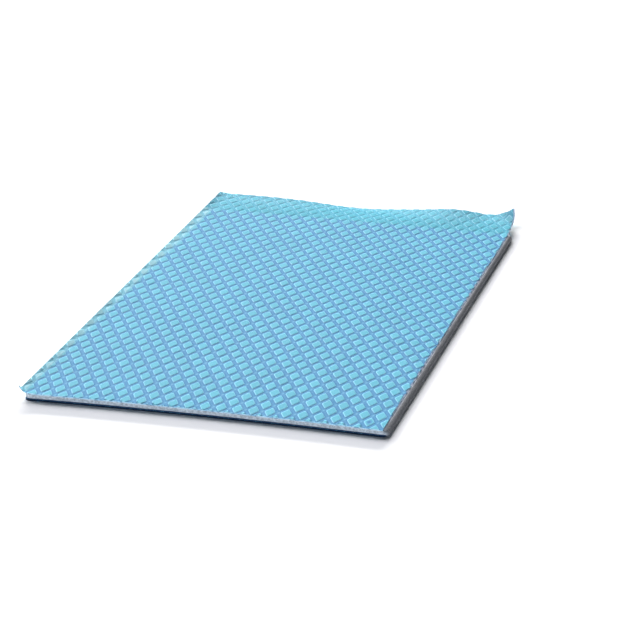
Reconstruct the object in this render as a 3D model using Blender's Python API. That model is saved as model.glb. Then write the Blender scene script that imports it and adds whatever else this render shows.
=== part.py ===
"""Thermal pad sheet: a soft silicone core between two thin blue carrier films.

X runs along the short edge, Y along the long edge, Z up. The sheet lies flat,
with the middle of its underside at the origin. All lengths are in metres.
"""
import math

import bmesh
import bpy
from mathutils import Vector

# Silicone core
PAD_ACROSS = 0.045
PAD_DEEP = 0.085
CORE_THICK = 0.0006
FAR_CORNER_RADIUS = 0.0004
NEAR_CORNER_RADIUS = 0.0009
CORNER_STEPS = 4
FAR_FLARE = 0.00012
NEAR_FLARE = 0.00035

# Carrier films, their thickness measured over the emboss
FILM_THICK = 0.00015
LAYER_GAP = 0.00002
RIGHT_INSET = 0.0005
LEFT_OVERHANG_NEAR = 0.0008
LEFT_OVERHANG_FAR = 0.0012
LEFT_LIFT = 0.00022
BACK_OVERHANG_LEFT = 0.0088
BACK_OVERHANG_RIGHT = 0.0101
BACK_TAPER = 0.0006

# Waves of the top film's free end: place across, half width and depth
BACK_WAVES = ((-0.002, 0.008, 0.0007), (0.0125, 0.0035, -0.0003), (0.0175, 0.002, 0.00015))

# Curled corners of the top film
FAR_CURL_REACH = 0.0027
FAR_CURL_RADIUS = 0.0026
NEAR_CURL_REACH = 0.0014
NEAR_CURL_RADIUS = 0.0013

# How fast the film's lift and waves grow towards its edge
LIFT_POWER = 1.5
WAVE_POWER = 1.6

# Grid of the top film
LEFT_STEPS = 3
ACROSS_STEPS = 30
NEAR_STEPS = 3
NEAR_ZONE = 0.0024
BACK_STEPS = 9

HALF_ACROSS = PAD_ACROSS / 2
HALF_DEEP = PAD_DEEP / 2
CORE_BOTTOM = FILM_THICK + LAYER_GAP
CORE_TOP = CORE_BOTTOM + CORE_THICK
FILM_MIDDLE = CORE_TOP + LAYER_GAP + FILM_THICK / 2


def clear_scene():
    for thing in list(bpy.data.objects):
        bpy.data.objects.remove(thing, do_unlink=True)


def make_material(name, colour, roughness, metallic=0.0, alpha=1.0):
    material = bpy.data.materials.new(name)
    material.use_nodes = True
    shader = material.node_tree.nodes["Principled BSDF"]
    shader.inputs["Base Color"].default_value = (*colour, 1.0)
    shader.inputs["Roughness"].default_value = roughness
    shader.inputs["Metallic"].default_value = metallic
    shader.inputs["Alpha"].default_value = alpha
    return material


def add_object(name, verts, faces, material):
    mesh = bpy.data.meshes.new(name)
    mesh.from_pydata([tuple(v) for v in verts], [], faces)
    mesh.validate()
    work = bmesh.new()
    work.from_mesh(mesh)
    bmesh.ops.recalc_face_normals(work, faces=work.faces)
    work.to_mesh(mesh)
    work.free()
    mesh.materials.append(material)
    thing = bpy.data.objects.new(name, mesh)
    bpy.context.scene.collection.objects.link(thing)
    return thing


def rounded_outline(half_x, half_y):
    """Corner points of the cut sheet, counterclockwise from above."""
    points = []
    corners = (
        (1, -1, NEAR_CORNER_RADIUS),
        (1, 1, FAR_CORNER_RADIUS),
        (-1, 1, FAR_CORNER_RADIUS),
        (-1, -1, NEAR_CORNER_RADIUS),
    )
    for turn, (side_x, side_y, radius) in enumerate(corners):
        cx = side_x * (half_x - radius)
        cy = side_y * (half_y - radius)
        for step in range(CORNER_STEPS + 1):
            angle = math.pi / 2 * (turn - 1 + step / CORNER_STEPS)
            points.append((cx + radius * math.cos(angle), cy + radius * math.sin(angle)))
    return points


def flared(outline):
    """The right side slants out towards the bottom, most at the near end."""
    points = []
    for x, y in outline:
        share = (HALF_DEEP - y) / PAD_DEEP
        flare = FAR_FLARE + share * (NEAR_FLARE - FAR_FLARE)
        points.append((x + flare if x > 0 else x, y))
    return points


def slab(name, low, high, z_low, z_high, material):
    """A flat piece between two outlines that have as many points."""
    count = len(low)
    verts = [(x, y, z_low) for x, y in low] + [(x, y, z_high) for x, y in high]
    faces = [tuple(reversed(range(count))), tuple(range(count, 2 * count))]
    for i in range(count):
        j = (i + 1) % count
        faces.append((i, j, count + j, count + i))
    return add_object(name, verts, faces, material)


def roll(point, corner, inward, reach, radius):
    """Rolls the film up round an axis across its corner."""
    out = -((point - corner).dot(inward)) + reach
    if out <= 0:
        return point
    angle = out / radius
    slid = radius * math.sin(angle) - out
    moved = point - inward * slid
    moved.z += radius * (1 - math.cos(angle))
    return moved


def left_overhang(y):
    """How far the film reaches past the core's left side."""
    share = (y + HALF_DEEP) / PAD_DEEP
    return LEFT_OVERHANG_NEAR + share * (LEFT_OVERHANG_FAR - LEFT_OVERHANG_NEAR)


def back_overhang(x):
    """How far the film reaches past the core's back."""
    share = (x + HALF_ACROSS) / PAD_ACROSS
    return BACK_OVERHANG_LEFT + share * (BACK_OVERHANG_RIGHT - BACK_OVERHANG_LEFT)


def film_point(x, y):
    """Middle of the top film over the flat place x, y."""
    z = FILM_MIDDLE
    past_left = max(0.0, -HALF_ACROSS - x) / left_overhang(y)
    z += LEFT_LIFT * past_left ** LIFT_POWER
    past_back = max(0.0, y - HALF_DEEP) / back_overhang(x)
    for centre, half_width, depth in BACK_WAVES:
        z -= depth * past_back ** WAVE_POWER * math.exp(-(((x - centre) / half_width) ** 2))
    taper = BACK_TAPER * past_back * max(0.0, x) / HALF_ACROSS
    place = Vector((x - taper, y, z))
    right = HALF_ACROSS - RIGHT_INSET
    far = Vector((right - BACK_TAPER, HALF_DEEP + back_overhang(right), z))
    diagonal = Vector((-1, -1, 0)).normalized()
    place = roll(place, far, diagonal, FAR_CURL_REACH, FAR_CURL_RADIUS)
    near = Vector((-HALF_ACROSS - LEFT_OVERHANG_NEAR, -HALF_DEEP, z))
    diagonal = Vector((1, 1, 0)).normalized()
    return roll(place, near, diagonal, NEAR_CURL_REACH, NEAR_CURL_RADIUS)


def film_normal(x, y):
    step = 1e-5
    along = film_point(x + step, y) - film_point(x - step, y)
    away = film_point(x, y + step) - film_point(x, y - step)
    return along.cross(away).normalized()


def between(low, high, count):
    return [low + (high - low) * i / count for i in range(count)]


def top_film(material):
    right = HALF_ACROSS - RIGHT_INSET
    shares = between(-1.0, 0.0, LEFT_STEPS) + between(0.0, 1.0, ACROSS_STEPS) + [1.0]
    near = between(-HALF_DEEP, -HALF_DEEP + NEAR_ZONE, NEAR_STEPS)
    near.append(-HALF_DEEP + NEAR_ZONE)
    rows = len(near) + BACK_STEPS + 1
    under = []
    over = []
    for row in range(rows):
        for share in shares:
            y = near[row] if row < len(near) else HALF_DEEP
            if share < 0:
                x = -HALF_ACROSS + share * left_overhang(y)
            else:
                x = -HALF_ACROSS + share * (right + HALF_ACROSS)
            if row >= len(near):
                y += back_overhang(x) * (row - len(near)) / BACK_STEPS
            middle = film_point(x, y)
            lift = film_normal(x, y) * (FILM_THICK / 2)
            under.append(middle - lift)
            over.append(middle + lift)
    wide = len(shares)
    shift = len(under)
    faces = []
    for row in range(rows - 1):
        for i in range(wide - 1):
            a = row * wide + i
            quad = (a, a + 1, a + wide + 1, a + wide)
            faces.append(tuple(reversed(quad)))
            faces.append(tuple(k + shift for k in quad))
    rim = [i for i in range(wide)]
    rim += [row * wide + wide - 1 for row in range(1, rows)]
    rim += [(rows - 1) * wide + i for i in range(wide - 2, -1, -1)]
    rim += [row * wide for row in range(rows - 2, 0, -1)]
    for i, a in enumerate(rim):
        b = rim[(i + 1) % len(rim)]
        faces.append((a, b, b + shift, a + shift))
    return add_object("top_film", under + over, faces, material)


def main():
    clear_scene()
    silicone = make_material("grey_silicone", (0.36, 0.36, 0.38), 0.75)
    upper = make_material("blue_film", (0.20, 0.62, 0.80), 0.3, alpha=0.75)
    lower = make_material("blue_film_under", (0.20, 0.62, 0.80), 0.35, alpha=0.75)
    outline = rounded_outline(HALF_ACROSS, HALF_DEEP)
    slab("bottom_film", outline, outline, 0.0, FILM_THICK, lower)
    slab("silicone_pad", flared(outline), outline, CORE_BOTTOM, CORE_TOP, silicone)
    top_film(upper)


main()
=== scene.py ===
"""Looks of the thermal pad sheet: a silicone core between two embossed blue films.

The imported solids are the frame. The core and both films are rebuilt here with
their cut edges and their emboss, in metres, in the same place.
"""
from __future__ import annotations

import logging
import math
from dataclasses import dataclass
from enum import Enum
from typing import Any, Callable, Iterable, Sequence

import bmesh
import bpy
import numpy as np
from mathutils import Matrix, Vector, noise

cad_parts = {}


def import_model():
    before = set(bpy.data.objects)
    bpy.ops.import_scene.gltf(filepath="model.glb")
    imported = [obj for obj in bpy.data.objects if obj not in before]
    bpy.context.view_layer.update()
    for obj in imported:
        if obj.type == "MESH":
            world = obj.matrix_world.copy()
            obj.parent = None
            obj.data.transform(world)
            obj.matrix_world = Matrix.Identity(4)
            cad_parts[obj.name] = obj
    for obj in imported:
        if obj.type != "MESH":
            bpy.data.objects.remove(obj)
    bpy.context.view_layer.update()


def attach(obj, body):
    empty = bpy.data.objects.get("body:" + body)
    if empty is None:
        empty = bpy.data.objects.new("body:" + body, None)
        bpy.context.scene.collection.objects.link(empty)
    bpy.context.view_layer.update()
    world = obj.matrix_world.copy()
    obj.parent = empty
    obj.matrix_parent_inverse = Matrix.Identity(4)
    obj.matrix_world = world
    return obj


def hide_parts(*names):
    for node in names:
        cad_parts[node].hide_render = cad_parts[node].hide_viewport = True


log = logging.getLogger("thermal_pad_sheet")

Colour = tuple[float, float, float]
Point = tuple[float, float, float]

# Points round one ring of a cell, and distances within which points are made one
RING_POINTS = 12
WELD = 2e-6
CUT_WELD = 4e-6
TOUCH = 1e-7


class Facing(Enum):
    """Which way the raised cells of a film stand."""

    UP = 1
    DOWN = -1


class Wiring:
    """Adds nodes to one node tree and joins their sockets."""

    def __init__(self, tree: bpy.types.NodeTree) -> None:
        """Starts on the node tree that the nodes go into."""
        self.tree = tree

    def socket(self, name: str, kind: str, way: str = "INPUT", value: Any = None) -> str:
        """Adds a socket to the tree's own interface.

        Args:
            name: Name of the socket.
            kind: Short kind, such as Float, Color or Geometry.
            way: INPUT or OUTPUT.
            value: Default value, where it has one.

        Returns:
            The identifier of the socket.
        """
        made = self.tree.interface.new_socket(
            name=name, in_out=way, socket_type=f"NodeSocket{kind}"
        )
        if value is not None:
            made.default_value = value
        return made.identifier

    def add(self, kind: str, feeds: dict[str | int, Any] | None = None, **settings: Any) -> Any:
        """Adds one node, sets it up and feeds its inputs.

        Args:
            kind: Blender's name for the kind of node.
            feeds: Value or output socket for each input, by name or place.
            **settings: Properties of the node.

        Returns:
            The new node.
        """
        node = self.tree.nodes.new(kind)
        for name, value in settings.items():
            setattr(node, name, value)
        for key, value in (feeds or {}).items():
            self.feed(node.inputs[key], value)
        return node

    def feed(self, into: bpy.types.NodeSocket, value: Any) -> None:
        """Links an output to an input, or sets the input's own value."""
        if isinstance(value, bpy.types.NodeSocket):
            self.tree.links.new(value, into)
        elif isinstance(value, tuple) and into.type == "RGBA" and len(value) == 3:
            into.default_value = (*value, 1.0)
        else:
            into.default_value = value

    def math(self, operation: str, *values: Any, clamp: bool = False) -> bpy.types.NodeSocket:
        """Adds a Math node on the given values and returns its output."""
        feeds = dict(enumerate(values))
        return self.add("ShaderNodeMath", feeds, operation=operation, use_clamp=clamp).outputs[0]

    def mix(self, share: Any, first: Any, second: Any) -> bpy.types.NodeSocket:
        """Mixes two colours by a share and returns the colour."""
        node = self.add("ShaderNodeMix", data_type="RGBA")
        self.feed(node.inputs[0], share)
        self.feed(node.inputs[6], first)
        self.feed(node.inputs[7], second)
        return node.outputs[2]

    def ramp(self, value: Any, low: float, high: float, to_low: float = 0.0,
             to_high: float = 1.0) -> bpy.types.NodeSocket:
        """Maps a value smoothly from one span to another and returns it."""
        feeds = {0: value, 1: low, 2: high, 3: to_low, 4: to_high}
        node = self.add("ShaderNodeMapRange", feeds, interpolation_type="SMOOTHSTEP")
        return node.outputs[0]


@dataclass(frozen=True)
class SheetShape:
    """Sizes of the sheet as its source gives them, and the bow of its near cut."""

    across: float = 0.045
    deep: float = 0.085
    core_thick: float = 0.0006
    film_thick: float = 0.00015
    layer_gap: float = 0.00002
    near_corner: float = 0.0009
    far_corner: float = 0.0004
    far_flare: float = 0.00012
    near_flare: float = 0.00035
    right_inset: float = 0.0005
    near_bow: float = 0.00062
    left_over_near: float = 0.0008
    left_over_far: float = 0.0012
    left_lift: float = 0.00022
    back_over_left: float = 0.0088
    back_over_right: float = 0.0101
    back_taper: float = 0.0006
    back_waves: tuple[Point, ...] = (
        (-0.002, 0.008, 0.0007),
        (0.0125, 0.0035, -0.0003),
        (0.0175, 0.002, 0.00015),
    )
    far_curl: tuple[float, float] = (0.0027, 0.0026)
    near_curl: tuple[float, float] = (0.0014, 0.0013)
    lift_power: float = 1.5
    wave_power: float = 1.6

    @property
    def half_across(self) -> float:
        """Half the core's width."""
        return self.across / 2

    @property
    def half_deep(self) -> float:
        """Half the core's depth."""
        return self.deep / 2

    @property
    def core_bottom(self) -> float:
        """Height of the core's underside."""
        return self.film_thick + self.layer_gap

    @property
    def core_top(self) -> float:
        """Height of the core's upper face."""
        return self.core_bottom + self.core_thick

    @property
    def film_middle(self) -> float:
        """Height of the middle of the top film where it lies flat."""
        return self.core_top + self.layer_gap + self.film_thick / 2

    @property
    def corners(self) -> tuple[Point, ...]:
        """Side across, side in depth and radius of each corner, counterclockwise."""
        return ((1, -1, self.near_corner), (1, 1, self.far_corner),
                (-1, 1, self.far_corner), (-1, -1, self.near_corner))

    def bowed(self, x: float) -> float:
        """How far the near cut, which isn't quite straight, lies inside its line."""
        return self.near_bow * max(0.0, 1.0 - (x / self.half_across) ** 2)

    def left_over(self, y: np.ndarray) -> np.ndarray:
        """How far the top film reaches past the core's left side."""
        share = (y + self.half_deep) / self.deep
        return self.left_over_near + share * (self.left_over_far - self.left_over_near)

    def back_over(self, x: np.ndarray | float) -> np.ndarray | float:
        """How far the top film reaches past the core's back."""
        share = (x + self.half_across) / self.across
        return self.back_over_left + share * (self.back_over_right - self.back_over_left)

    @staticmethod
    def _roll(points: np.ndarray, corner: np.ndarray, inward: np.ndarray,
              curl: tuple[float, float]) -> np.ndarray:
        """Rolls points up round an axis across a corner.

        Args:
            points: Places of the film, one row each.
            corner: The corner, one row or a row for each point.
            inward: Level direction from the corner into the sheet.
            curl: How far the curl reaches and its radius.

        Returns:
            The moved places.
        """
        reach, radius = curl
        out = np.maximum(reach - (points - corner)[:, :2] @ inward, 0.0)
        angle = out / radius
        moved = points.copy()
        moved[:, :2] -= np.outer(radius * np.sin(angle) - out, inward)
        moved[:, 2] += radius * (1 - np.cos(angle))
        return moved

    def film_points(self, x: np.ndarray, y: np.ndarray) -> np.ndarray:
        """Middle of the top film over flat places.

        Args:
            x: Places across.
            y: Places in depth.

        Returns:
            One row of three numbers for each place.
        """
        z = np.full_like(x, self.film_middle)
        past_left = np.maximum(0.0, -self.half_across - x) / self.left_over(y)
        z += self.left_lift * past_left**self.lift_power
        past_back = np.maximum(0.0, y - self.half_deep) / self.back_over(x)
        for centre, half_width, depth in self.back_waves:
            bell = np.exp(-(((x - centre) / half_width) ** 2))
            z -= depth * past_back**self.wave_power * bell
        taper = self.back_taper * past_back * np.maximum(0.0, x) / self.half_across
        places = np.column_stack([x - taper, y, z])
        right = self.half_across - self.right_inset
        slant = math.sqrt(0.5)
        far = np.array([right - self.back_taper, self.half_deep + self.back_over(right), 0.0])
        places = self._roll(places, far, np.array([-slant, -slant]), self.far_curl)
        near = np.array([-self.half_across - self.left_over_near, -self.half_deep, 0.0])
        return self._roll(places, near, np.array([slant, slant]), self.near_curl)

    def film_normals(self, x: np.ndarray, y: np.ndarray) -> np.ndarray:
        """Upward normals of the top film over flat places."""
        step = 1e-5
        along = self.film_points(x + step, y) - self.film_points(x - step, y)
        away = self.film_points(x, y + step) - self.film_points(x, y - step)
        normals = np.cross(along, away)
        return normals / np.linalg.norm(normals, axis=1)[:, None]


@dataclass(frozen=True)
class CutLine:
    """A straight knife cut through a film: what lies on its outer side goes.

    A pressed cut gets a painted highlight here and there along it. A scored one is
    pinched thin over a narrow band and gets a pale painted highlight all along it.
    A bow moves the cut inwards by its function of the place across.
    """

    through: tuple[float, float]
    outward: tuple[float, float]
    pressed: bool = False
    scored: float = 0.0
    bow: Callable[[float], float] | None = None


@dataclass(frozen=True)
class FilmSheet:
    """A film's flat mesh as plain arrays, with what its finish reads."""

    points: np.ndarray
    faces: list[tuple[int, ...]]
    edges: list[tuple[int, int]]
    values: dict[str, np.ndarray]


@dataclass
class EmbossPattern:
    """The diamond emboss: rows of raised cells with rounded corners."""

    pitch_across: float = 0.001981
    pitch_deep: float = 0.004125
    middle: tuple[float, float] = (-1.0, 3.0)
    lie: tuple[tuple[float, float], ...] = (
        (0.002998, -0.005933), (0.001978, 7.641e-05), (-8.962e-05, 0.004083),
        (1.571e-06, -3.668e-06), (-9.147e-07, -9.139e-06), (1.654e-06, -1.853e-05),
        (2.624e-08, -7.423e-08), (-1.809e-07, 3.237e-07), (2.625e-08, -6.976e-07),
        (3.493e-08, 8.586e-07), (4.521e-09, -1.235e-08), (7.066e-09, -1.116e-08),
        (-3.737e-09, 2.463e-08), (-1.199e-08, 8.908e-08), (-8.681e-09, -1.28e-08),
    )
    columns: int = 29
    rows: int = 53
    film: float = 0.000095
    height: float = 0.000055
    top_half: float = 0.27
    rim_half: float = 0.35
    foot_half: float = 0.392
    corner: float = 0.11
    crossing: float = 0.14
    round_off: float = 0.293
    rim_rise: float = 0.86
    lowest: float = 0.86
    # Share of the painted shade at the base of the walls on the two fainter sides of a cell
    faint_foot_shade: float = 0.4
    narrow: float = 0.94
    lean: float = 0.035
    left_at_score: float = 0.00002
    ragged_scale: float = 2600.0
    ragged_depth: float = 0.00003
    dent_shift: Point = (0.00004, -0.00005, 0.0)
    dent_share: float = 0.62
    dent_drop: float = 0.6
    # Relief values for the pushed-in cell's ring and middle; below zero they only paint shade there
    dent_relief: tuple[float, float] = (0.6, -1.3)
    seed: int = 7

    @property
    def rings(self) -> tuple[tuple[float, float, float, float, float], ...]:
        """Half width, corner, height, relief and rim (painted highlight) value of each ring of a
        cell.
        """
        return (
            (0.5, self.crossing, 0.0, 0.0, 0.0),
            (self.foot_half, self.corner, 0.0, 0.0, 0.0),
            (self.rim_half, self.corner, self.rim_rise, 1.0, 1.0),
            (self.top_half, self.corner, 1.0, 1.0, 0.0),
        )

    def _ring(self, half: float, corner: float, square: bool) -> list[tuple[float, float]]:
        """Twelve points round a cell, in shares of its two sides.

        Args:
            half: Half the ring's side.
            corner: How far the points beside a corner stand from it.
            square: Whether the corner is kept sharp.

        Returns:
            The points, counterclockwise.
        """
        cut = 0.0 if square else corner * self.round_off
        one = [(half - corner, -half), (half - cut, -half + cut), (half, -half + corner)]
        points = []
        for quarter in range(4):
            for u, v in one:
                for _ in range(quarter):
                    u, v = -v, u
                points.append((u, v))
        return points

    def _cell(self) -> bpy.types.Mesh:
        """Builds one cell with its share of the groove round it.

        Returns:
            The mesh, with the values relief, rim for a painted highlight, crossing, and
            a painted shade at the base of the walls, on its points.
        """
        points: list[Point] = []
        values: dict[str, list[float]] = {"relief": [], "rim": [], "crossing": [], "foot_shade": []}
        for place, (half, corner, rise, relief, rim) in enumerate(self.rings):
            for number, (u, v) in enumerate(self._ring(half, corner, place == 0)):
                # Painted shade at the base of the cell walls: full along two opposite sides of each
                # cell, faint along the other two
                beside = 1.0 if abs(v) > 0.99 * half else self.faint_foot_shade
                values["foot_shade"].append(beside if place == 1 else 0.0)
                if place:
                    v = v * self.narrow - self.lean
                x = (u + v) * self.pitch_across / 2
                y = (v - u) * self.pitch_deep / 2
                points.append((x, y, rise * self.height))
                values["relief"].append(relief)
                values["rim"].append(rim)
                values["crossing"].append(1.0 if place == 0 and number % 3 == 1 else 0.0)
        faces: list[tuple[int, ...]] = []
        for place in range(len(self.rings) - 1):
            for number in range(RING_POINTS):
                a = place * RING_POINTS + number
                b = place * RING_POINTS + (number + 1) % RING_POINTS
                faces.append((a, b, b + RING_POINTS, a + RING_POINTS))
        top = (len(self.rings) - 1) * RING_POINTS
        faces.append(tuple(range(top, top + RING_POINTS)))
        mesh = bpy.data.meshes.new("emboss_cell")
        mesh.from_pydata(points, [], faces)
        for name, numbers in values.items():
            mesh.attributes.new(name, "FLOAT", "POINT").data.foreach_set("value", numbers)
        return mesh

    def _tree(self) -> tuple[bpy.types.NodeTree, dict[str, str]]:
        """Builds the node tree that repeats a cell over the whole sheet.

        Returns:
            The tree, and the identifier of each of its inputs by name.
        """
        tree = bpy.data.node_groups.new("repeat_emboss_cells", "GeometryNodeTree")
        wire = Wiring(tree)
        names = {"Cell": wire.socket("Cell", "Geometry")}
        for name, kind in (
            ("Pitch Across", "Float"), ("Pitch Deep", "Float"), ("Columns", "Int"),
            ("Rows", "Int"), ("Lowest Height", "Float"), ("Seed", "Int"), ("Finish", "Material"),
        ):
            names[name] = wire.socket(name, kind)
        wire.socket("Sheet", "Geometry", "OUTPUT")
        given = wire.add("NodeGroupInput").outputs
        half_pitch = wire.math("MULTIPLY", given["Pitch Across"], 0.5)
        row_step = wire.math("MULTIPLY", given["Pitch Deep"], 0.5)
        wide = wire.math("MULTIPLY", given["Pitch Across"],
                         wire.math("SUBTRACT", given["Columns"], 1.0))
        long = wire.math("MULTIPLY", row_step, wire.math("SUBTRACT", given["Rows"], 1.0))
        grid = wire.add("GeometryNodeMeshGrid", {
            "Size X": wide, "Size Y": long,
            "Vertices X": given["Columns"], "Vertices Y": given["Rows"],
        })
        row = wire.math("MODULO", wire.add("GeometryNodeInputIndex").outputs[0], given["Rows"])
        shift = wire.math("MULTIPLY", wire.math("MODULO", row, 2.0), half_pitch)
        staggered = wire.add("GeometryNodeSetPosition", {
            "Geometry": grid.outputs["Mesh"],
            "Offset": wire.add("ShaderNodeCombineXYZ", {"X": shift}).outputs[0],
        })
        height = wire.add("FunctionNodeRandomValue", {
            2: given["Lowest Height"], 3: 1.0, 8: given["Seed"],
        }, data_type="FLOAT").outputs[1]
        tone = wire.add("FunctionNodeRandomValue", {
            2: 0.0, 3: 1.0, 8: wire.math("ADD", given["Seed"], 1.0),
        }, data_type="FLOAT").outputs[1]
        cells = wire.add("GeometryNodeInstanceOnPoints", {
            "Points": staggered.outputs[0], "Instance": given["Cell"],
            "Scale": wire.add("ShaderNodeCombineXYZ", {"X": 1.0, "Y": 1.0, "Z": height}).outputs[0],
        })
        toned = wire.add("GeometryNodeStoreNamedAttribute", {
            "Geometry": cells.outputs[0], "Name": "tone", "Value": tone,
        }, data_type="FLOAT", domain="INSTANCE")
        real = wire.add("GeometryNodeRealizeInstances", {"Geometry": toned.outputs[0]})
        dressed = wire.add("GeometryNodeSetMaterial", {
            "Geometry": real.outputs[0], "Material": given["Finish"],
        })
        wire.add("NodeGroupOutput", {"Sheet": dressed.outputs[0]})
        return tree, names

    def repeated(self, finish: bpy.types.Material) -> bpy.types.Mesh:
        """Bakes the repeated cells to a plain mesh.

        Args:
            finish: Material that the node tree sets.

        Returns:
            The mesh of all cells, flat, its grooves at height zero.
        """
        carrier = linked("emboss_carrier", self._cell())
        tree, names = self._tree()
        modifier = carrier.modifiers.new("repeat_emboss_cells", "NODES")
        modifier.node_group = tree
        for name, value in (
            ("Pitch Across", self.pitch_across), ("Pitch Deep", self.pitch_deep),
            ("Columns", self.columns), ("Rows", self.rows), ("Lowest Height", self.lowest),
            ("Seed", self.seed), ("Finish", finish),
        ):
            modifier[names[name]] = value
        graph = bpy.context.evaluated_depsgraph_get()
        mesh = bpy.data.meshes.new_from_object(
            carrier.evaluated_get(graph), preserve_all_data_layers=True, depsgraph=graph
        )
        carrier.modifiers.clear()
        bpy.data.objects.remove(carrier, do_unlink=True)
        return mesh

    def settled(self, x: float, y: float) -> tuple[float, float]:
        """Where a point of the even pattern lies on the sheet."""
        u = x / self.pitch_across + self.middle[0]
        w = y / self.pitch_deep + self.middle[1]
        terms = [u**a * w**(n - a) for n in range(5) for a in range(n, -1, -1)]
        return (sum(t * c[0] for t, c in zip(terms, self.lie)),
                sum(t * c[1] for t, c in zip(terms, self.lie)))

    def cut_sheet(self, finish: bpy.types.Material, cuts: Iterable[CutLine],
                  dents: Sequence[tuple[float, float]]) -> FilmSheet:
        """Cuts the repeated cells to a film's outline.

        Args:
            finish: Material that the node tree sets.
            cuts: The knife cuts round the film.
            dents: Places of cells whose top is pushed in.

        Returns:
            The cut sheet, still flat.
        """
        mesh = self.repeated(finish)
        work = bmesh.new()
        work.from_mesh(mesh)
        bmesh.ops.remove_doubles(work, verts=work.verts, dist=WELD)
        for vert in work.verts:
            vert.co.xy = self.settled(vert.co.x, vert.co.y)
        pressed = work.verts.layers.float.new("pressed")
        scored = work.verts.layers.float.new("scored")
        for cut in cuts:
            outward = Vector((*cut.outward, 0.0)).normalized()
            if cut.scored:
                inner = Vector((*cut.through, 0.0)) - outward * cut.scored
                bmesh.ops.bisect_plane(
                    work, geom=[*work.verts, *work.edges, *work.faces], dist=TOUCH,
                    plane_co=inner, plane_no=outward,
                )
            if cut.bow:
                for vert in work.verts:
                    vert.co += outward * cut.bow(vert.co.x)
            made = bmesh.ops.bisect_plane(
                work, geom=[*work.verts, *work.edges, *work.faces], dist=TOUCH,
                plane_co=(*cut.through, 0.0), plane_no=outward, clear_outer=True,
            )
            if cut.bow:
                for vert in work.verts:
                    vert.co -= outward * cut.bow(vert.co.x)
            for vert in made["geom_cut"]:
                if isinstance(vert, bmesh.types.BMVert):
                    place = Vector((vert.co.x, vert.co.y, 0.0)) * self.ragged_scale
                    vert.co -= outward * self.ragged_depth * abs(noise.noise(place))
                    if cut.pressed:
                        vert[pressed] = 1.0
                    if cut.scored:
                        vert[scored] = 1.0
        bmesh.ops.remove_doubles(work, verts=work.verts, dist=CUT_WELD)
        relief = work.verts.layers.float["relief"]
        for x, y in dents:
            tops = [f for f in work.faces if len(f.verts) > 8]
            top = min(tops, key=lambda f: (f.calc_center_median().xy - Vector((x, y))).length)
            bmesh.ops.inset_region(work, faces=[top], thickness=0.00001)
            centre = top.calc_center_median() + Vector(self.dent_shift)
            for vert in top.verts:
                vert.co = centre.lerp(vert.co, self.dent_share)
                vert[relief] = self.dent_relief[0]
            middle = bmesh.ops.poke(work, faces=[top])["verts"][0]
            middle.co.z -= self.height * self.dent_drop
            # A relief below zero paints shade in the middle of the pushed-in cell
            middle[relief] = self.dent_relief[1]
        names = ("relief", "rim", "crossing", "foot_shade", "tone", "pressed", "scored")
        layers = [work.verts.layers.float[name] for name in names]
        work.verts.index_update()
        points = np.array([v.co for v in work.verts], float)
        values = {
            name: np.array([v[layer] for v in work.verts], float)
            for name, layer in zip(names, layers)
        }
        faces = [tuple(v.index for v in f.verts) for f in work.faces]
        edges = [
            (loop.vert.index, loop.link_loop_next.vert.index)
            for edge in work.edges if edge.is_boundary
            for loop in edge.link_loops
        ]
        work.free()
        bpy.data.meshes.remove(mesh)
        return FilmSheet(points, faces, edges, values)


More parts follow.
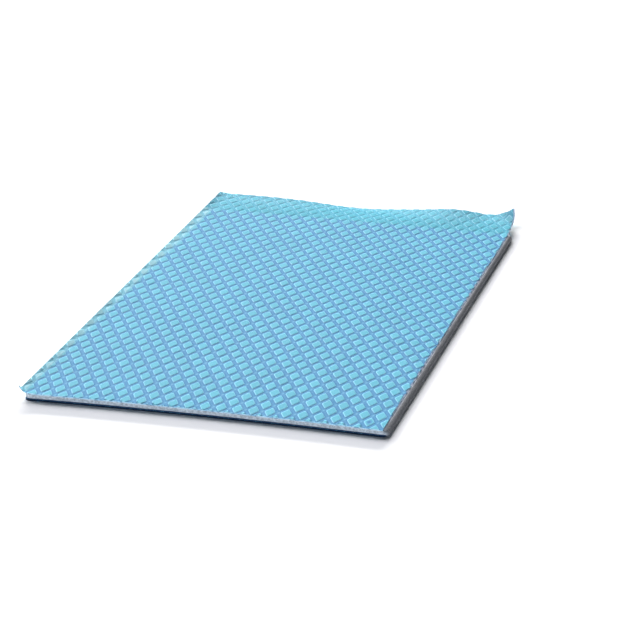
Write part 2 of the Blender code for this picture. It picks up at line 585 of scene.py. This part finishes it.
class SharedEffects:
    """Shader node groups that more than one material uses."""

    def __init__(self) -> None:
        """Builds each group once."""
        self.grain = self._grain()
        self.film_tone = self._film_tone()
        self.cover = self._cover()

    @staticmethod
    def _grain() -> bpy.types.NodeTree:
        """A mottle of two sizes on Object coordinates: Mottle and Grain from 0 to 1."""
        tree = bpy.data.node_groups.new("surface_grain", "ShaderNodeTree")
        wire = Wiring(tree)
        for name, value in (("Mottle Scale", 300.0), ("Grain Scale", 4000.0)):
            wire.socket(name, "Float", value=value)
        for name in ("Mottle", "Grain"):
            wire.socket(name, "Float", "OUTPUT")
        given = wire.add("NodeGroupInput").outputs
        place = wire.add("ShaderNodeTexCoord").outputs["Object"]
        mottle = wire.add("ShaderNodeTexNoise", {
            "Vector": place, "Scale": given["Mottle Scale"], "Detail": 4.0, "Roughness": 0.55,
        })
        grain = wire.add("ShaderNodeTexNoise", {
            "Vector": place, "Scale": given["Grain Scale"], "Detail": 3.0, "Roughness": 0.6,
        })
        wire.add("NodeGroupOutput", {"Mottle": mottle.outputs[0], "Grain": grain.outputs[0]})
        return tree

    @staticmethod
    def _film_tone() -> bpy.types.NodeTree:
        """The film's colour from its emboss and whether it lies on the core, with painted shade and
        highlights.
        """
        tree = bpy.data.node_groups.new("film_tone", "ShaderNodeTree")
        wire = Wiring(tree)
        for name in ("Cover", "Mottle"):
            wire.socket(name, "Float", value=0.5)
        for name in ("Cell", "Groove", "Foot Shade", "Rim Highlight", "Score Highlight", "Dent Shade", "Loose Cell",
                     "Loose Groove"):
            wire.socket(name, "Color", value=(0.5, 0.5, 0.5, 1.0))
        wire.socket("Colour", "Color", "OUTPUT")
        given = wire.add("NodeGroupInput").outputs
        read = {
            name: wire.add("ShaderNodeAttribute", attribute_name=name).outputs["Fac"]
            for name in ("relief", "rim", "crossing", "foot_shade", "tone", "pressed", "scored")
        }
        raised = wire.ramp(read["relief"], 0.45, 1.0)
        # Painted shade: the groove darkens toward the base of the cell walls
        groove = wire.mix(wire.math("MULTIPLY", read["foot_shade"], 0.8), given["Groove"],
                          given["Foot Shade"])
        resting = wire.mix(raised, groove, given["Cell"])
        loose = wire.mix(raised, given["Loose Groove"], given["Loose Cell"])
        body = wire.mix(given["Cover"], loose, resting)
        # Painted highlight along the bevel of each cell; the crossings of the grooves are lightened
        # with the same colour
        rim = wire.math("POWER", read["rim"], 1.7)
        spot = wire.math("POWER", wire.math("MULTIPLY", read["crossing"], 0.9), 2.2)
        bright = wire.math("MAXIMUM", wire.math("MULTIPLY", rim, 0.85),
                           wire.math("MULTIPLY", spot, 0.6))
        patchy = wire.ramp(given["Mottle"], 0.4, 0.6, 0.25, 0.9)
        # Painted highlight: pale patches along the pressed cut, in the rim highlight colour
        line = wire.math("MULTIPLY", wire.math("POWER", read["pressed"], 5.0), patchy)
        bright = wire.math("MAXIMUM", bright, line)
        rimmed = wire.mix(bright, body, given["Rim Highlight"])
        # Painted highlight: a pale line all along the scored cut
        pinched = wire.mix(wire.math("POWER", read["scored"], 0.7), rimmed, given["Score Highlight"])
        # Painted shade in the middle of the pushed-in cell
        sunk = wire.math("MULTIPLY", read["relief"], -1.0, clamp=True)
        dented = wire.mix(sunk, pinched, given["Dent Shade"])
        uneven = wire.math("ADD", wire.math("MULTIPLY", read["tone"], 0.5),
                           wire.math("MULTIPLY", given["Mottle"], 0.5))
        level = wire.ramp(uneven, 0.2, 0.8, 0.965, 1.035)
        shaded = wire.add("ShaderNodeVectorMath", {0: dented, "Scale": level}, operation="SCALE")
        wire.add("NodeGroupOutput", {"Colour": shaded.outputs[0]})
        return tree

    @staticmethod
    def _cover() -> bpy.types.NodeTree:
        """Where the core lies against a film, and the flap past its left side, from 0 to 1."""
        tree = bpy.data.node_groups.new("core_cover", "ShaderNodeTree")
        wire = Wiring(tree)
        for name in ("Half Across", "Half Deep", "Fade"):
            wire.socket(name, "Float", value=0.01)
        wire.socket("Cover", "Float", "OUTPUT")
        wire.socket("Flap", "Float", "OUTPUT")
        given = wire.add("NodeGroupInput").outputs
        place = wire.add("ShaderNodeSeparateXYZ", {
            0: wire.add("ShaderNodeTexCoord").outputs["Object"],
        }).outputs
        left = wire.math("ADD", place["X"], given["Half Across"])
        back = wire.math("SUBTRACT", given["Half Deep"], place["Y"])
        inside = wire.math("MINIMUM", left, back)
        share = wire.math("DIVIDE", inside, given["Fade"])
        before_back = wire.math("ADD", wire.math("DIVIDE", back, given["Fade"]), 0.5, clamp=True)
        past_left = wire.math("SUBTRACT", 0.5, wire.math("DIVIDE", left, given["Fade"]), clamp=True)
        wire.add("NodeGroupOutput", {
            "Cover": wire.math("ADD", share, 0.5, clamp=True),
            "Flap": wire.math("MULTIPLY", past_left, before_back),
        })
        return tree


def linked(name: str, data: Any) -> bpy.types.Object:
    """Makes an object of the given data and adds it to the scene."""
    made = bpy.data.objects.new(name, data)
    bpy.context.scene.collection.objects.link(made)
    return made


def group_node(wire: Wiring, tree: bpy.types.NodeTree, feeds: dict[str, Any]) -> Any:
    """Places a shared effect in a material.

    Args:
        wire: Wiring of the material.
        tree: The shared effect.
        feeds: Values of its inputs.

    Returns:
        The outputs of the placed group.
    """
    node = wire.add("ShaderNodeGroup", node_tree=tree)
    for name, value in feeds.items():
        wire.feed(node.inputs[name], value)
    return node.outputs


def new_material(name: str) -> tuple[bpy.types.Material, Wiring, Any]:
    """Makes an empty material with a Principled shader.

    Args:
        name: Name of the material.

    Returns:
        The material, its wiring and the shader node.
    """
    material = bpy.data.materials.new(name)
    material.use_nodes = True
    material.node_tree.nodes.clear()
    wire = Wiring(material.node_tree)
    shader = wire.add("ShaderNodeBsdfPrincipled")
    wire.add("ShaderNodeOutputMaterial", {"Surface": shader.outputs[0]})
    return material, wire, shader


@dataclass(frozen=True)
class FilmFinish:
    """Thin blue polyethylene with a matt diamond emboss."""

    name: str
    cell: Colour = (0.119, 0.468, 0.605)
    groove: Colour = (0.082, 0.298, 0.525)
    # Colour of the painted shade at the base of the cell walls
    foot_shade: Colour = (0.050, 0.222, 0.435)
    # Colour of the painted highlight on the cell bevels
    rim: Colour = (0.32, 0.72, 0.90)
    # Colour of the painted highlight along the scored cut
    score_highlight: Colour = (0.70, 0.77, 0.97)
    # Colour of the painted shade in the pushed-in cell
    dent_shade: Colour = (0.045, 0.20, 0.40)
    loose_cell: Colour = (0.085, 0.44, 0.56)
    loose_groove: Colour = (0.075, 0.40, 0.54)
    # Painted light: the flap past the core's left side is paler for the light that passes through
    # it from the left and behind
    lit_flap_cell: Colour = (0.34, 0.66, 0.74)
    lit_flap_groove: Colour = (0.23, 0.58, 0.71)
    roughness: float = 0.5
    specular: float = 0.05
    alpha_resting: float = 0.88
    alpha_loose: float = 0.8
    alpha_flap: float = 0.93

    def material(self, shape: SheetShape, shared: SharedEffects) -> bpy.types.Material:
        """Builds the film's material.

        Args:
            shape: Sizes of the sheet.
            shared: The shared node groups.

        Returns:
            The material.
        """
        material, wire, shader = new_material(self.name)
        grain = group_node(wire, shared.grain, {"Mottle Scale": 420.0, "Grain Scale": 5200.0})
        cover = group_node(wire, shared.cover, {
            "Half Across": shape.half_across, "Half Deep": shape.half_deep, "Fade": 0.0005,
        })
        tone = group_node(wire, shared.film_tone, {
            "Cover": cover["Cover"], "Mottle": grain["Mottle"], "Cell": self.cell,
            "Groove": self.groove, "Foot Shade": self.foot_shade, "Rim Highlight": self.rim,
            "Score Highlight": self.score_highlight, "Dent Shade": self.dent_shade,
            # Painted light on the flap past the core's left side
            "Loose Cell": wire.mix(cover["Flap"], self.loose_cell, self.lit_flap_cell),
            "Loose Groove": wire.mix(cover["Flap"], self.loose_groove, self.lit_flap_groove),
        })
        wire.feed(shader.inputs["Base Color"], tone["Colour"])
        rough = wire.ramp(grain["Grain"], 0.3, 0.7, self.roughness - 0.06, self.roughness + 0.06)
        wire.feed(shader.inputs["Roughness"], rough)
        shader.inputs["Specular IOR Level"].default_value = self.specular
        resting = wire.ramp(cover["Cover"], 0.0, 1.0, self.alpha_loose, self.alpha_resting)
        flap = wire.math("MULTIPLY", cover["Flap"], self.alpha_flap)
        wire.feed(shader.inputs["Alpha"], wire.math("MAXIMUM", resting, flap))
        bump = wire.add("ShaderNodeBump", {
            "Strength": 0.25, "Distance": 0.00001, "Height": grain["Grain"],
        })
        wire.feed(shader.inputs["Normal"], bump.outputs[0])
        return material


@dataclass(frozen=True)
class FilmEdgeFinish:
    """The film's own knife-cut edge, where the tint runs deep or catches light."""

    name: str
    dark: Colour
    light: Colour

    def material(self, shared: SharedEffects) -> bpy.types.Material:
        """Builds the cut edge's material."""
        material, wire, shader = new_material(self.name)
        grain = group_node(wire, shared.grain, {"Mottle Scale": 1300.0, "Grain Scale": 5000.0})
        pressed = wire.add("ShaderNodeAttribute", attribute_name="pressed").outputs["Fac"]
        catch = wire.math("MAXIMUM", wire.ramp(grain["Mottle"], 0.36, 0.54),
                          wire.math("SUBTRACT", 1.0, pressed))
        wire.feed(shader.inputs["Base Color"], wire.mix(catch, self.dark, self.light))
        wire.feed(shader.inputs["Roughness"], wire.ramp(grain["Grain"], 0.3, 0.7, 0.3, 0.5))
        return material


@dataclass(frozen=True)
class SiliconeFinish:
    """Grey silicone full of ceramic powder, paler and rougher where it is cut."""

    name: str = "filled_silicone"
    face: Colour = (0.29, 0.33, 0.38)
    cut: Colour = (0.52, 0.55, 0.59)
    # Colour of the painted shade on the cut sides facing right
    right_side_shade: Colour = (0.185, 0.187, 0.20)
    # Colour of the painted shade on the lower part of the cut sides
    low_cut_shade: Colour = (0.02, 0.05, 0.11)
    # Colour of the light filler specks, and of the painted highlight along the top edge of the cut
    # sides
    speck_and_highlight: Colour = (0.85, 0.85, 0.86)

    def material(self, shared: SharedEffects) -> bpy.types.Material:
        """Builds the core's material."""
        material, wire, shader = new_material(self.name)
        grain = group_node(wire, shared.grain, {"Mottle Scale": 3400.0, "Grain Scale": 9000.0})
        read = {
            name: wire.add("ShaderNodeAttribute", attribute_name=name).outputs["Fac"]
            for name in ("cut", "right_side_shade", "low_cut_shade", "lip")
        }
        base = wire.mix(read["cut"], self.face, self.cut)
        # Painted shade on the cut sides facing right, streaked by the mottle
        streaky = wire.math("MULTIPLY", read["right_side_shade"],
                            wire.ramp(grain["Mottle"], 0.25, 0.6, 0.65, 1.0))
        base = wire.mix(streaky, base, self.right_side_shade)
        level = wire.ramp(grain["Mottle"], 0.3, 0.7, 0.74, 1.24)
        toned = wire.add("ShaderNodeVectorMath", {0: base, "Scale": level}, operation="SCALE")
        specks = wire.math("MULTIPLY", wire.ramp(grain["Grain"], 0.6, 0.68), 0.7)
        # Painted highlight along the top edge of the cut sides, patchy with the mottle
        lip = wire.math("MULTIPLY", read["lip"], wire.ramp(grain["Mottle"], 0.35, 0.6, 0.15, 0.75))
        bright = wire.mix(wire.math("MAXIMUM", specks, lip), toned.outputs[0], self.speck_and_highlight)
        # Painted shade: the lower part of the cut sides turns near black navy, its top edge ragged
        # with the mottle
        ragged = wire.math("ADD", read["low_cut_shade"], wire.math("MULTIPLY", grain["Mottle"], 0.5))
        colour = wire.mix(wire.ramp(ragged, 0.62, 0.9), bright, self.low_cut_shade)
        wire.feed(shader.inputs["Base Color"], colour)
        wire.feed(shader.inputs["Roughness"], wire.ramp(grain["Grain"], 0.3, 0.7, 0.62, 0.85))
        shader.inputs["Specular IOR Level"].default_value = 0.3
        bump = wire.add("ShaderNodeBump", {
            "Strength": 0.7, "Distance": 0.00004, "Height": grain["Mottle"],
        })
        wire.feed(shader.inputs["Normal"], bump.outputs[0])
        return material


@dataclass
class SiliconeCore:
    """The soft core: flat faces, and sides that the knife left rough."""

    shape: SheetShape
    step: float = 0.0003
    lift: float = 0.000014
    torn: float = 0.00005
    grit_scale: float = 2200.0
    grit_rise: float = 2.4
    side_wander: float = 0.00002
    edge_dip: float = 0.00003
    # How high up the cut sides the painted shade reaches, as a share of the core's thickness
    low_cut_shade_share: float = 0.4
    shoulder_from: float = 0.6
    rounded: float = 0.00028
    profile: tuple[tuple[float, float, float], ...] = (
        (0.0, 0.0006, 0.0), (0.0, 0.00003, 0.6), (0.12, 0.00001, 1.0), (0.26, 0.0, 1.0),
        (0.4, 0.0, 1.0), (0.6, 0.0, 1.0), (0.8, 0.0, 1.0), (0.95, 0.00001, 1.0),
        (1.0, 0.00004, 0.7),
        (1.0, 0.0004, 0.0), (1.0, 0.0009, 0.0),
    )

    def _outline(self) -> list[tuple[float, float, float, float]]:
        """Places round the core with their outward directions, counterclockwise."""
        shape = self.shape
        places: list[tuple[float, float, float, float]] = []
        corners = shape.corners
        for turn, (side_x, side_y, radius) in enumerate(corners):
            cx = side_x * (shape.half_across - radius)
            cy = side_y * (shape.half_deep - radius)
            steps = max(4, int(radius * math.pi / 2 / self.step))
            for number in range(steps + 1):
                angle = math.pi / 2 * (turn - 1 + number / steps)
                c, s = math.cos(angle), math.sin(angle)
                places.append((cx + radius * c, cy + radius * s, c, s))
            next_x, next_y, next_radius = corners[(turn + 1) % 4]
            angle = math.pi / 2 * turn
            c, s = math.cos(angle), math.sin(angle)
            last = places[-1]
            end_x = next_x * (shape.half_across - next_radius) + next_radius * c
            end_y = next_y * (shape.half_deep - next_radius) + next_radius * s
            count = int(math.hypot(end_x - last[0], end_y - last[1]) / self.step)
            for number in range(1, count):
                share = number / count
                places.append((last[0] + (end_x - last[0]) * share,
                               last[1] + (end_y - last[1]) * share, c, s))
        return [(x, y - s * shape.bowed(x) if s < 0 else y, c, s) for x, y, c, s in places]

    def build(self, finish: bpy.types.Material) -> bpy.types.Object:
        """Builds the core.

        Args:
            finish: Its material.

        Returns:
            The object, in place.
        """
        shape = self.shape
        places = self._outline()
        count = len(places)
        thick = shape.core_thick + self.lift
        points: list[Point] = []
        values: dict[str, list[float]] = {"cut": [], "right_side_shade": [], "low_cut_shade": [], "lip": []}
        for rise, inset, rough in self.profile:
            for x, y, c, s in places:
                share = (shape.half_deep - y) / shape.deep
                flare = shape.far_flare + share * (shape.near_flare - shape.far_flare)
                out = flare * (1.0 - rise) if x > 0 and c > 0.3 else 0.0
                spot = Vector((x * self.grit_scale, y * self.grit_scale, rise * self.grit_rise))
                chip = abs(noise.noise(spot)) + 0.5 * abs(noise.noise(spot * 2.7))
                right_facing = max(0.0, c) ** 2 if x > 0 else 0.0
                torn = self.torn * (1.0 - 0.6 * right_facing)
                near_top = max(0.0, (rise - self.shoulder_from) / (1.0 - self.shoulder_from))
                shoulder = self.rounded * right_facing * near_top**2
                move = -inset - torn * chip * rough - shoulder * (rough > 0.0)
                z = shape.core_bottom + thick * rise
                if 0.0 < rise < 1.0:
                    z += self.side_wander * noise.noise(spot * 0.8)
                elif rise == 1.0 and rough > 0.0:
                    z -= self.edge_dip * abs(noise.noise(spot * 1.3))
                points.append((x + c * move + out * rough, y + s * move, z))
                values["cut"].append(min(1.0, rough * 1.3))
                # Painted shade: the cut sides facing right get a darker colour
                values["right_side_shade"].append(right_facing if rise > 0.05 and rough > 0.0 else 0.0)
                # Painted shade on the lower part of the cut sides, except where they face right
                low_shade = max(0.0, 1.0 - rise / self.low_cut_shade_share) ** 0.5
                values["low_cut_shade"].append(low_shade * (1.0 - right_facing))
                # Painted highlight along the top edge of the cut sides, except where they face
                # right
                values["lip"].append(1.0 - right_facing if rise > 0.9 and rough > 0.0 else 0.0)
        faces: list[tuple[int, ...]] = []
        for ring in range(len(self.profile) - 1):
            for number in range(count):
                a = ring * count + number
                b = ring * count + (number + 1) % count
                faces.append((a, b, b + count, a + count))
        top = (len(self.profile) - 1) * count
        faces.append(tuple(range(top, top + count)))
        faces.append(tuple(reversed(range(count))))
        mesh = bpy.data.meshes.new("silicone_core")
        mesh.from_pydata(points, [], faces)
        for name, numbers in values.items():
            mesh.attributes.new(name, "FLOAT", "POINT").data.foreach_set("value", numbers)
        mesh.materials.append(finish)
        mesh.shade_smooth()
        return linked("silicone_core", mesh)


@dataclass
class CarrierFilm:
    """A thin embossed film on one face of the core."""

    name: str
    shape: SheetShape
    pattern: EmbossPattern
    facing: Facing
    sealed: bool = False

    def cuts(self) -> list[CutLine]:
        """The knife cuts round the film: here the core's own outline."""
        shape = self.shape
        lines = []
        corners = shape.corners
        for turn, (side_x, side_y, radius) in enumerate(corners):
            cx = side_x * (shape.half_across - radius)
            cy = side_y * (shape.half_deep - radius)
            for part in range(1, 4):
                angle = math.pi / 2 * (turn - 1 + part / 4)
                c, s = math.cos(angle), math.sin(angle)
                lines.append(CutLine((cx + radius * c, cy + radius * s), (c, s)))
            angle = math.pi / 2 * turn
            c, s = math.cos(angle), math.sin(angle)
            bow = shape.bowed if s < -0.5 else None
            lines.append(CutLine((shape.half_across * c, shape.half_deep * s), (c, s), bow=bow))
        return lines

    def dents(self) -> list[tuple[float, float]]:
        """Places of the cells with a dent in their top."""
        return []

    def placed(self, flat: np.ndarray, rise: np.ndarray) -> np.ndarray:
        """Places of film points from their flat ones and their rise over its lower face."""
        raised = rise if self.facing is Facing.UP else self.shape.film_thick - rise
        return np.column_stack([flat[:, 0], flat[:, 1], raised])

    def build(self, finish: bpy.types.Material, edge: bpy.types.Material) -> bpy.types.Object:
        """Builds the film as a closed sheet with both faces embossed.

        Args:
            finish: Material of its faces.
            edge: Material of its cut edge.

        Returns:
            The object, in place.
        """
        sheet = self.pattern.cut_sheet(finish, self.cuts(), self.dents())
        count = len(sheet.points)
        relief = np.clip(sheet.points[:, 2], 0.0, self.pattern.height)
        low = relief * (sheet.values["pressed"] < 0.5)
        high = relief + self.pattern.film
        scored = sheet.values["scored"] > 0.5
        low[scored] = 0.0
        high[scored] = self.pattern.left_at_score
        if self.sealed:
            rim_points = np.unique(sheet.edges)
            low[rim_points] = 0.0
            high[rim_points] = self.shape.film_thick
        outer = self.placed(sheet.points, high)
        inner = self.placed(sheet.points, low)
        shown = self.facing is Facing.UP
        faces = [f if shown else f[::-1] for f in sheet.faces]
        faces += [tuple(i + count for i in (f[::-1] if shown else f)) for f in sheet.faces]
        rim = [(b, a, a + count, b + count) for a, b in sheet.edges]
        faces += [f if shown else f[::-1] for f in rim]
        mesh = bpy.data.meshes.new(self.name)
        mesh.from_pydata(np.vstack([outer, inner]).tolist(), [], faces)
        for name, numbers in sheet.values.items():
            both = np.concatenate([numbers, numbers]).astype(np.float32)
            mesh.attributes.new(name, "FLOAT", "POINT").data.foreach_set("value", both)
        mesh.materials.append(finish)
        mesh.materials.append(edge)
        on_edge = np.arange(len(faces)) >= len(faces) - len(rim)
        mesh.polygons.foreach_set("material_index", on_edge.astype(np.int32))
        raised = (sheet.values["relief"] == 1.0) & (sheet.values["rim"] == 0.0)
        sunk = sheet.values["relief"] == 0.0
        level = np.array([bool(raised[list(f)].all() or sunk[list(f)].all())
                          for f in sheet.faces])
        flat = on_edge.copy()
        flat[:2 * len(level)] = np.concatenate([level, level])
        mesh.polygons.foreach_set("use_smooth", ~flat)
        mesh.update()
        return linked(self.name, mesh)


@dataclass
class TopFilm(CarrierFilm):
    """The upper film, larger than the core at its left and back, its corners curled."""

    score_width: float = 0.00024

    def cuts(self) -> list[CutLine]:
        """The knife cuts round the upper film."""
        shape = self.shape
        half_x, half_y = shape.half_across, shape.half_deep
        spread = shape.left_over_far - shape.left_over_near
        rise = shape.back_over_right - shape.back_over_left
        return [
            CutLine((0.0, -half_y), (0.0, -1.0), pressed=True, bow=shape.bowed),
            CutLine((half_x - shape.right_inset, 0.0), (1.0, 0.0), scored=self.score_width),
            CutLine((-half_x - shape.left_over_near, -half_y), (-1.0, -spread / shape.deep)),
            CutLine((-half_x, half_y + shape.back_over_left), (-rise / shape.across, 1.0)),
        ]

    def dents(self) -> list[tuple[float, float]]:
        """One cell near the front right corner is pushed in."""
        return [(0.01990, -0.04023)]

    def placed(self, flat: np.ndarray, rise: np.ndarray) -> np.ndarray:
        """Bends the film as the source does."""
        x, y = flat[:, 0], flat[:, 1]
        off = (rise - self.shape.film_thick / 2)[:, None]
        return self.shape.film_points(x, y) + self.shape.film_normals(x, y) * off


@dataclass
class Studio:
    """A pale floor, soft lights from behind and the left, and the camera."""

    floor_side: float = 8.0
    camera_place: Point = (0.0865959, -0.3519333, 0.1181418)
    azimuth: float = 13.2882
    elevation: float = 18.0608
    roll: float = -1.2484
    lens: float = 163.707
    lowered: float = 0.00127
    room: float = 0.035

    def floor(self, shared: SharedEffects) -> bpy.types.Object:
        """Builds the floor."""
        half = self.floor_side / 2
        mesh = bpy.data.meshes.new("studio_floor")
        mesh.from_pydata([(-half, -half, 0), (half, -half, 0), (half, half, 0), (-half, half, 0)],
                         [], [(0, 1, 2, 3)])
        material, wire, shader = new_material("pale_floor")
        grain = group_node(wire, shared.grain, {"Mottle Scale": 30.0, "Grain Scale": 900.0})
        level = wire.ramp(grain["Mottle"], 0.3, 0.7, 0.985, 1.0)
        white = wire.add("ShaderNodeVectorMath", {0: (0.93, 0.935, 0.945), "Scale": level},
                         operation="SCALE")
        wire.feed(shader.inputs["Base Color"], white.outputs[0])
        shader.inputs["Roughness"].default_value = 0.9
        shader.inputs["Specular IOR Level"].default_value = 0.1
        mesh.materials.append(material)
        floor = linked("studio_floor", mesh)
        return floor

    @staticmethod
    def light(name: str, aim: tuple[float, float, float], size: tuple[float, float],
              power: float, colour: Colour = (1.0, 1.0, 1.0),
              mirrored: bool = False) -> bpy.types.Object:
        """Adds a soft light that points at the sheet.

        Args:
            name: Its name.
            aim: Degrees to the left of straight behind, degrees up, and distance.
            size: Its two sides.
            power: Its power in watts.
            colour: Its colour.
            mirrored: Whether glossy faces reflect it.

        Returns:
            The light.
        """
        data = bpy.data.lights.new(name, "AREA")
        data.shape = "RECTANGLE"
        data.size, data.size_y = size
        data.energy = power
        data.color = colour
        lamp = linked(name, data)
        left, up = math.radians(aim[0]), math.radians(aim[1])
        place = Vector((-math.sin(left) * math.cos(up), math.cos(left) * math.cos(up),
                        math.sin(up))) * aim[2]
        lamp.location = place
        lamp.visible_glossy = mirrored
        lamp.rotation_euler = (-place).to_track_quat("-Z", "Y").to_euler()
        return lamp

    @staticmethod
    def surroundings(strength: float) -> None:
        """Sets a white room that lights the sheet faintly."""
        world = bpy.data.worlds.new("white_room")
        world.use_nodes = True
        world.node_tree.nodes.clear()
        wire = Wiring(world.node_tree)
        seen = wire.add("ShaderNodeBackground", {"Color": (1.0, 1.0, 1.0), "Strength": 1.0})
        lit = wire.add("ShaderNodeBackground", {"Color": (0.80, 0.90, 1.0), "Strength": strength})
        path = wire.add("ShaderNodeLightPath")
        both = wire.add("ShaderNodeMixShader", {
            0: path.outputs["Is Camera Ray"], 1: lit.outputs[0], 2: seen.outputs[0],
        })
        wire.add("ShaderNodeOutputWorld", {"Surface": both.outputs[0]})
        bpy.context.scene.world = world

    def camera(self) -> bpy.types.Object:
        """Adds the camera at the photograph's viewing angle."""
        a, e, r = (math.radians(v) for v in (self.azimuth, self.elevation, self.roll))
        ahead = Vector((-math.sin(a) * math.cos(e), math.cos(a) * math.cos(e), -math.sin(e)))
        level = ahead.cross(Vector((0.0, 0.0, 1.0))).normalized()
        rise = level.cross(ahead)
        up = rise * math.cos(r) + level * math.sin(r)
        right = level * math.cos(r) - rise * math.sin(r)
        data = bpy.data.cameras.new("camera")
        data.lens = self.lens
        data.sensor_width = 36.0
        data.shift_y = -self.lowered
        data.clip_start, data.clip_end = 0.01, 10.0
        camera = linked("camera", data)
        turn = Matrix((right, up, -ahead)).transposed().to_4x4()
        camera.matrix_world = Matrix.Translation(self.camera_place) @ turn
        bpy.context.scene.camera = camera
        return camera

    def build(self, shared: SharedEffects) -> None:
        """Builds the whole studio."""
        self.floor(shared)
        self.surroundings(self.room)
        self.light("main_softbox", (38.0, 32.0, 4.5), (4.5, 2.42), 302.0, (0.96, 0.98, 1.04),
                   mirrored=True)
        self.light("low_back_strip", (16.0, 11.0, 4.5), (2.25, 0.3), 555.0, (1.04, 1.0, 0.95))
        self.light("low_left_strip", (60.0, 17.0, 4.5), (2.4, 1.2), 94.0, (1.05, 1.0, 0.97))
        self.light("low_front_fill", (185.0, 1.6, 2.4), (2.0, 0.12), 36.0, (0.74, 0.87, 1.0))
        self.camera()
        bpy.context.scene.view_settings.view_transform = "Standard"
        bpy.context.scene.view_settings.look = "None"


def main() -> None:
    """Builds the sheet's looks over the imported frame."""
    logging.basicConfig(level=logging.INFO, format="%(message)s")
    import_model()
    shape = SheetShape()
    shared = SharedEffects()
    pattern = EmbossPattern()
    top_finish = FilmFinish("blue_film_top").material(shape, shared)
    under_finish = FilmFinish("blue_film_under").material(shape, shared)
    top_edge = FilmEdgeFinish("film_edge_top", (0.20, 0.38, 0.54), (0.60, 0.82, 0.94))
    # The bottom film's cut edge is near black navy: partly its blue tint seen edge-on, partly
    # painted shade where the sheet meets the floor
    under_edge = FilmEdgeFinish("film_edge_under", (0.002, 0.005, 0.014), (0.005, 0.015, 0.038))
    core = SiliconeCore(shape).build(SiliconeFinish().material(shared))
    top = TopFilm("embossed_top_film", shape, pattern, Facing.UP)
    under = CarrierFilm("embossed_bottom_film", shape, pattern, Facing.DOWN, sealed=True)
    pieces = (
        (core, "silicone_pad", "silicone"),
        (top.build(top_finish, top_edge.material(shared)), "top_film", "top_film"),
        (under.build(under_finish, under_edge.material(shared)), "bottom_film", "bottom_film"),
    )
    for piece, node, slot in pieces:
        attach(piece, "root")
        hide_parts(node)
        triangles = sum(len(face.vertices) - 2 for face in piece.data.polygons)
        log.info("%s stands for %s: %d triangles", piece.name, node, triangles)
    Studio().build(shared)


if __name__ == "__main__":
    main()
